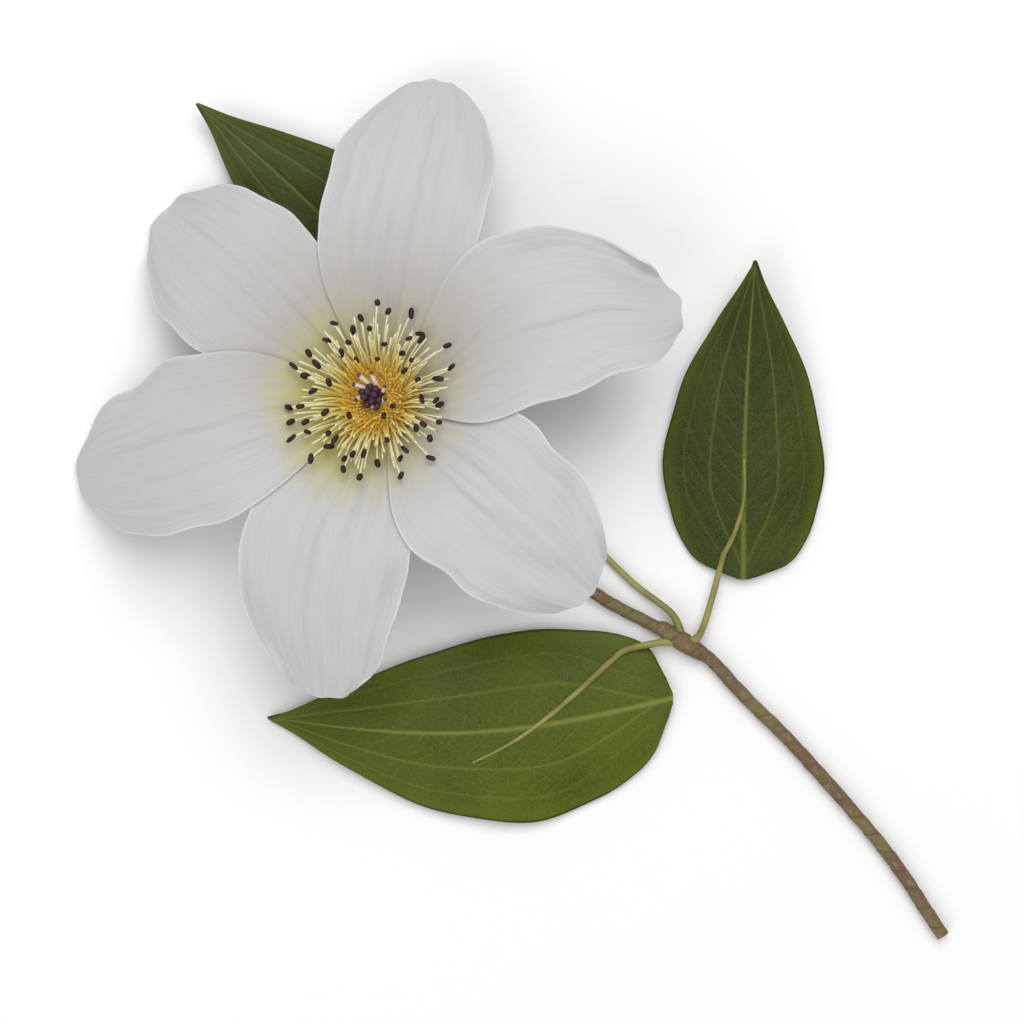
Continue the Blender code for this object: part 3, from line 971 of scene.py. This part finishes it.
def tape_finish(name, length):
    tape = Finish(name, Specular_IOR_Level=0.3)
    along, across = tape.on_sheet()
    turn = (along * (length / TAPE_PITCH) + across * 0.5).fraction()
    line = 1 - turn.ease(0.0, 0.16)
    patches = tape.noise(tape.place(), 130.0)
    fibres = tape.noise(tape.stretched(tape.place(), (1, 1, 3)), 900.0, 4.0, 0.65)
    body = patches.ease(0.4, 0.7).mix(TAPE_BROWN, TAPE_OLIVE)
    body = (fibres.ease(0.48, 0.75) * 0.7).mix(body, TAPE_PALE)
    # painted shade in the step of each turn of tape
    body = (line * (0.25 + patches * 0.5)).mix(body, TAPE_SHADOW)
    return tape.paint(body, fibres * 0.3 + 0.5, ((fibres, 0.5, 0.08),))


# %% The upper stalk and its bend
COLLAR_END = -8.8
COLLAR_OVERLAP = 2
BEND_POINTS = 6
JOINT = (50.0, -39.45)  # where the leaves grow
UPPER_ROUTE = ((23.0, -21.0, 1.1), (35.4, -31.4, 1.1), (44.6, -36.5, 1.25), (*JOINT, 1.8))


def neck_points():
    """From inside the collar, down the bloom's axis and round a bend to the table."""
    inside = to_bloom @ Vector((0, 0, COLLAR_END + COLLAR_OVERLAP)) - BLOOM_MIDDLE
    top = to_bloom @ Vector((0, 0, COLLAR_END)) - BLOOM_MIDDLE
    steep = math.pi / 2 - BLOOM_LEAN
    ahead = outwards(STALK_HEADING)
    bend = (top.z - UPPER_ROUTE[0][2]) / (1 - math.cos(steep))
    points = [inside]
    for k in range(BEND_POINTS + 1):
        angle = steep * (1 - k / BEND_POINTS)
        run = bend * (math.sin(steep) - math.sin(angle))
        height = UPPER_ROUTE[0][2] + bend * (1 - math.cos(angle))
        points.append(Vector((top.x, top.y, height)) + ahead * run)
    return points


upper_line = smooth_route([*neck_points(), *UPPER_ROUTE], 8)
upper, length = rolled_tube(
    "upper_stalk_taped", upper_line, STALK_SIDES, STALK_STEP, taped(STALK_RADIUS - 0.05)
)
upper.data.materials.append(tape_finish("stalk_tape_upper", length))
smooth_by(upper, 70)
finish_piece(upper, ["upper_stalk"])

# %% [markdown]
# The lower stalk is made in the same way. It runs on from the joint along the
# table, and the tube's filled end is its plain cut.

# %% The lower stalk
LOWER_ROUTE = (
    (*JOINT, 1.8), (54.6, -42.4, 1.3), (60.4, -48.6, 1.15), (70.1, -58.4, 1.15),
    (83.8, -74.2, 1.15), (93.5, -88.5, 1.15),
)
lower_line = smooth_route(LOWER_ROUTE, 10)
lower, length = rolled_tube(
    "lower_stalk_taped", lower_line, STALK_SIDES, STALK_STEP, taped(STALK_RADIUS)
)
lower.data.materials.append(tape_finish("stalk_tape_lower", length))
smooth_by(lower)
finish_piece(lower, ["lower_stalk"])

# %% [markdown]
# ## The joint
#
# Where the leaves grow, the tape is wound over itself into a knuckle. It is a
# short fat length of the same tube, thickest in its middle.

# %% The knuckle
KNUCKLE_LINE = (
    (45.9, -36.9, 1.5), (48.0, -38.2, 1.85), (*JOINT, 1.95), (52.0, -40.7, 1.85), (54.0, -42.0, 1.5),
)
KNUCKLE_FAT = 0.62
KNUCKLE_SIDES, KNUCKLE_STEP = 36, 0.16


def knuckle_swell(share):
    return KNUCKLE_FAT * math.sin(math.pi * share) ** 0.7


knuckle_line = smooth_route(KNUCKLE_LINE, 8)
knuckle_radius = taped(STALK_RADIUS - 0.1, knuckle_swell)
knuckle, length = rolled_tube(
    "node_knuckle_wound", knuckle_line, KNUCKLE_SIDES, KNUCKLE_STEP, knuckle_radius
)
knuckle.data.materials.append(tape_finish("knuckle_tape", length))
smooth_by(knuckle, 70)
finish_piece(knuckle, ["node_knuckle"])

# %% [markdown]
# ## The leaves
#
# A leaf is a thin waxy sheet with its veins pressed in. A midrib runs from base
# to tip, two long veins keep to each side of it, and fine side veins sweep
# forward between them. The same rule that draws the veins sinks them into the
# top and writes them on the mesh, so shape and colour agree.

# %% The leaves' measures
LEAVES = {  # base, tip, width, sideways bow, heights of the midrib, drop of the edges
    "leaf_lower": ((48.5, -48.8), (-19.0, -52.3), 31.6, 3.9, (1.6, 3.0, 3.4, 2.2, 0.5), 2.4),
    "leaf_right": ((60.2, -29.2), (61.8, 23.5), 26.7, 0.6, (1.4, 2.3, 2.9, 3.8, 5.8), 1.9),
    "leaf_behind": ((17.6, -3.0), (-30.5, 49.7), 29.0, -3.0, (0.9, 0.8, 0.8, 1.6, 3.4), 0.2),
}
LEAF_THICK = 0.34
LEAF_OUTLINE = (
    (0, 0.16), (0.006, 0.32), (0.03, 0.54), (0.08, 0.71), (0.18, 0.88), (0.38, 1),
    (0.62, 0.79), (0.82, 0.4), (0.93, 0.14), (1, 0.005),
)
LEAF_BASE_ROUND = 0.025
LEAF_ROWS, LEAF_COLUMNS = 176, 84
LONG_VEINS = ((0.42, 0.55, 0.0), (0.74, 0.38, 0.25))  # place across, strength, place at the base
SIDE_VEINS = 13


def vein_at(along, across, half, length):
    """How strongly a vein shows at a place on a blade, from 0 to 1."""
    midrib = math.exp(-((abs(across) * half / (0.55 - 0.3 * along)) ** 2))
    long_veins = 0
    for place, strength, start in LONG_VEINS:
        arc = start + (place - start) * ease(along, 0, 0.3) ** 0.7
        gap = (abs(across) - arc) * half / 0.3
        long_veins = max(long_veins, strength * math.exp(-gap * gap) * ease(along, 0.0, 0.08))
    phase = (along - 0.34 * abs(across) ** 1.2 + 0.012 * math.sin(across * 7)) * SIDE_VEINS
    gap = abs(phase - round(phase)) / SIDE_VEINS * length * 0.85
    side_vein = 0.38 * math.exp(-((gap / 0.26) ** 2)) * (1 - ease(abs(across), 0.7, 0.95))
    return max(midrib, long_veins, side_vein)


def leaf_rules(name, seed):
    """Two rules for one leaf: where a point of the grid goes, and how much vein it has."""
    base, tip, width, bow, heights, edge_drop = LEAVES[name]
    base, tip = Vector((*base, 0)), Vector((*tip, 0))
    ahead = (tip - base).normalized()
    left = Vector((-ahead.y, ahead.x, 0))
    length = (tip - base).length
    lift = [(k / (len(heights) - 1), height) for k, height in enumerate(heights)]

    def vein(along, across):
        return vein_at(along, across, width / 2 * smooth_through(LEAF_OUTLINE, along), length)

    def place(along, across):
        run = length * (along + LEAF_BASE_ROUND * across**2 * (1 - along) ** 4)
        waver = noise.noise((along * 5, math.copysign(2, across), seed * 4.0)) * ease(along, 0.1, 0.4)
        half = width / 2 * smooth_through(LEAF_OUTLINE, along) * (1 + 0.05 * waver)
        side = half * across + bow * math.sin(math.pi * along)
        up = smooth_through(lift, along)
        up -= edge_drop * across**2 * math.sin(math.pi * min(along + 0.12, 1))
        up += 0.22 * (1 - vein(along, across)) * (1 - abs(across) ** 6) - 0.1
        up += 0.35 * (1 + math.sin(along * 15 + across * 1.5 + seed * 2)) * abs(across) ** 3
        up += 0.25 * (1 + noise.noise((along * 4, across * 2, seed + 7)))
        return (BLOOM_MIDDLE + base + ahead * run + left * side + Vector((0, 0, up))) * MM

    return place, vein


# %% [markdown]
# Each leaf has its own green, because they were dyed one by one. The top is
# satin, with yellow green veins and a net of the finest veins between them, and
# a thin rim of painted shade. The underside is a pale grey green.

# %% The leaves' finishes
LEAF_GREENS = {  # deep, body, light, and the veins
    "leaf_lower": (
        (0.050, 0.072, 0.003), (0.065, 0.092, 0.005), (0.082, 0.112, 0.008), (0.200, 0.225, 0.040),
    ),
    "leaf_right": (
        (0.021, 0.034, 0.002), (0.030, 0.045, 0.003), (0.042, 0.058, 0.005), (0.145, 0.170, 0.032),
    ),
    "leaf_behind": (
        (0.026, 0.042, 0.004), (0.038, 0.056, 0.007), (0.052, 0.074, 0.011), (0.140, 0.165, 0.036),
    ),
}
MARGIN_YELLOW = (0.125, 0.145, 0.010)
# painted shade for the thin line along each leaf's edge
PAINTED_RIM_SHADE = (0.020, 0.032, 0.004)
UNDER_GREEN = (0.125, 0.150, 0.070)
UNDER_PALE = (0.200, 0.225, 0.130)
UNDER_VEIN = (0.270, 0.290, 0.160)
NET_CELLS = (92, 40, 1)  # cells of the net along and across a leaf
NET_WANDER = 1.5


def leaf_finish(name):
    deep, body, light, vein_green = LEAF_GREENS[name]
    leaf = Finish(name + "_top", Specular_IOR_Level=0.16)
    vein = leaf.attribute("vein")
    edge = abs(leaf.on_sheet()[1])
    clouds = leaf.noise(leaf.place(), 70.0)
    wander = leaf.noise(leaf.place(), 300.0, 2.0) * NET_WANDER
    shift = wander.node("ShaderNodeCombineXYZ", None, {0: wander, 1: wander})
    net = leaf.cells(leaf.flat().vector("MULTIPLY", NET_CELLS).vector("ADD", shift), 1.0)
    lines = 1 - net.ease(0.0, 0.16)
    colour = clouds.ease(0.2, 0.8).bands(((0.0, deep), (0.5, body), (1.0, light)))
    colour = (lines * 0.17).mix(colour, vein_green)
    colour = (edge.ease(0.78, 0.95) * 0.3).mix(colour, MARGIN_YELLOW)
    colour = (vein.ease(0.1, 0.9) * 0.8).mix(colour, vein_green)
    # painted shade: a thin dark line along the leaf's edge
    colour = (edge.ease(0.965, 0.99) * 0.8).mix(colour, PAINTED_RIM_SHADE)
    rough = clouds * 0.12 + 0.42 + lines * 0.06
    return leaf.paint(colour, rough, ((net, 0.3, 0.1), (clouds, 0.25, 0.4)))


def under_finish():
    under = Finish("leaf_underside", Specular_IOR_Level=0.3)
    vein = under.attribute("vein")
    clouds = under.noise(under.place(), 90.0)
    colour = clouds.ease(0.35, 0.65).mix(UNDER_GREEN, UNDER_PALE)
    colour = (vein * 0.6).mix(colour, UNDER_VEIN)
    return under.paint(colour, clouds * 0.15 + 0.55, ((clouds, 0.3, 0.3),))


# %% Make the leaves
leaf_underside = under_finish()
for seed, name in enumerate(LEAVES):
    place, vein = leaf_rules(name, seed)
    leaf = shaped_grid(name + "_veined", LEAF_ROWS, LEAF_COLUMNS, place)
    strengths = leaf.data.attributes.new("vein", "FLOAT", "POINT")
    flat = leaf.data.uv_layers[0].data
    for loop in leaf.data.loops:
        along, across = flat[loop.index].uv
        strengths.data[loop.vertex_index].value = vein(along, across * 2 - 1)
    leaf.data.materials.append(leaf_finish(name))
    leaf.data.materials.append(leaf_underside)
    thicken(leaf, LEAF_THICK, second_finish_under=True)
    smooth_by(leaf, 60)
    finish_piece(leaf, [name])

# %% [markdown]
# ## The leaf stalks
#
# Each leaf hangs on a thin green wire in a plastic skin. Two of the wires run on
# along the top of their blades, and taper to an end there. They are rolled tubes
# too, and the rule that placed a blade's points also lays its wire on it.

# %% The leaf stalks
LEAF_STALK_RADIUS = 0.58
LEAF_STALK_SIDES, LEAF_STALK_STEP = 16, 0.4
RIDING_STALKS = {  # leaf, start, stations (along, across) on its blade
    "leaf_stalk_lower": (
        "leaf_lower", (45.9, -39.7, 2.6), ((0.1, -0.8), (0.22, -0.35), (0.34, 0.0), (0.5, 0.35)),
    ),
    "leaf_stalk_right": (
        "leaf_right", (53.1, -37.9, 2.6), ((0.06, 0.4), (0.14, 0.15), (0.25, 0.0), (0.38, 0.0)),
    ),
}
WIRE_RISES = (0.6, 0.2)  # height of a wire's middle over the blade, where it meets it and at its tip
WIRE_TIP, BEHIND_TIP = 0.3, 0.55  # how thick the ends are, as shares of the stalk
BEHIND_ROUTE = (
    (48.3, -34.9, 1.9), (41.0, -29.0, 0.9), (30.5, -18.0, 0.7), (21.0, -6.6, 0.9), (16.2, -1.4, 1.3),
)
STALK_GREEN = (0.19, 0.18, 0.04)
STALK_GREEN_LIGHT = (0.29, 0.28, 0.085)


def skin_finish():
    skin = Finish("leaf_stalk_skin", Specular_IOR_Level=0.4)
    patches = skin.noise(skin.place(), 160.0)
    grain = skin.noise(skin.place(), 1300.0)
    colour = patches.ease(0.35, 0.65).mix(STALK_GREEN, STALK_GREEN_LIGHT)
    return skin.paint(colour, grain * 0.2 + 0.38, ((grain, 0.3, 0.06),))


def skin_radius(end):
    """A thin stalk, a little thicker where it leaves the joint, that thins to end at its tip."""

    def radius_at(run, share, angle):
        lumps = 0.05 * noise.noise((run * 0.4, math.cos(angle), math.sin(angle)))
        foot = 0.35 * math.exp(-((run / 2.4) ** 2))
        return (LEAF_STALK_RADIUS + foot) * (1 + (end - 1) * share**2) + lumps * (1 - share)

    return radius_at


leaf_stalk_skin = skin_finish()
joint_middle = (*JOINT, 2.0)
routes = {"leaf_stalk_behind": ([joint_middle, *BEHIND_ROUTE], BEHIND_TIP)}
for name, (leaf, start, stations) in RIDING_STALKS.items():
    place = leaf_rules(leaf, list(LEAVES).index(leaf))[0]
    trail = smooth_route([(*station, 0) for station in stations], 3)
    resting = [
        place(spot.x, spot.y) / MM - BLOOM_MIDDLE + Vector((0, 0, rise))
        for spot, rise in zip(trail, np.linspace(*WIRE_RISES, len(trail)))
    ]
    routes[name] = ([joint_middle, start, *resting], WIRE_TIP)
for name, (points, end) in routes.items():
    stalk = rolled_tube(
        name + "_skin", smooth_route(points, 8), LEAF_STALK_SIDES, LEAF_STALK_STEP, skin_radius(end)
    )[0]
    stalk.data.materials.append(leaf_stalk_skin)
    smooth_by(stalk, 70)
    finish_piece(stalk, [name])

# %% [markdown]
# ## The table, the light and the camera
#
# The table is plain and nearly white. One large soft light hangs beyond the top
# petal, a weaker one stands to the lower left, and the sky is pale, so the
# shadows stay soft and the petals' grooves still show.

# %% The table
TABLE_WHITE = (0.92, 0.92, 0.92)
TABLE_GREY = (0.90, 0.90, 0.90)
TABLE_SIDE = 6  # metres
TABLE_DROP = 0.0001  # metres, so that nothing shares the table's plane


def table_finish():
    top = Finish("table_top", Specular_IOR_Level=0.1)
    grain = top.noise(top.place(), 8.0)
    return top.paint((grain * 0.2).mix(TABLE_WHITE, TABLE_GREY), grain * 0.1 + 0.8)


deselect_all()
bpy.ops.mesh.primitive_plane_add(size=TABLE_SIDE, location=(0, 0, -TABLE_DROP))
table = named("table")
bpy.ops.object.transform_apply(location=True)
table.data.materials.append(table_finish())

# %% Lights and sky
LIGHTS = {  # place in metres, size in metres, watts
    "key_light": ((0.12, 0.44, 0.9), 0.8, 6.9),
    "fill_light": ((-0.5, -0.5, 0.8), 0.9, 3.5),
}


def aim(thing, target):
    thing.rotation_euler = (Vector(target) - thing.location).to_track_quat("-Z", "Y").to_euler()


for name, (where, size, watts) in LIGHTS.items():
    deselect_all()
    bpy.ops.object.light_add(type="AREA", location=where)
    light = named(name)
    light.data.size = size
    light.data.energy = watts
    aim(light, (0, 0, 0))

SKY_WHITE, SKY_STRENGTH = (1.0, 1.0, 1.0), 0.42
sky = bpy.data.worlds.new("studio_sky")
sky.use_nodes = True
background = sky.node_tree.nodes["Background"]
background.inputs["Color"].default_value = (*SKY_WHITE, 1)
background.inputs["Strength"].default_value = SKY_STRENGTH
bpy.context.scene.world = sky
bpy.context.scene.view_settings.view_transform = "Standard"

# %% [markdown]
# The camera hangs straight above the flower, with a long lens, so that nothing
# looks stretched.

# %% The camera
CAMERA_HEIGHT = 0.475  # metres
CAMERA_LENS = 100
deselect_all()
bpy.ops.object.camera_add(location=(0, 0, CAMERA_HEIGHT))
camera = named("camera")
camera.data.lens = CAMERA_LENS
camera.rotation_euler = (0, 0, 0)
bpy.context.scene.camera = camera
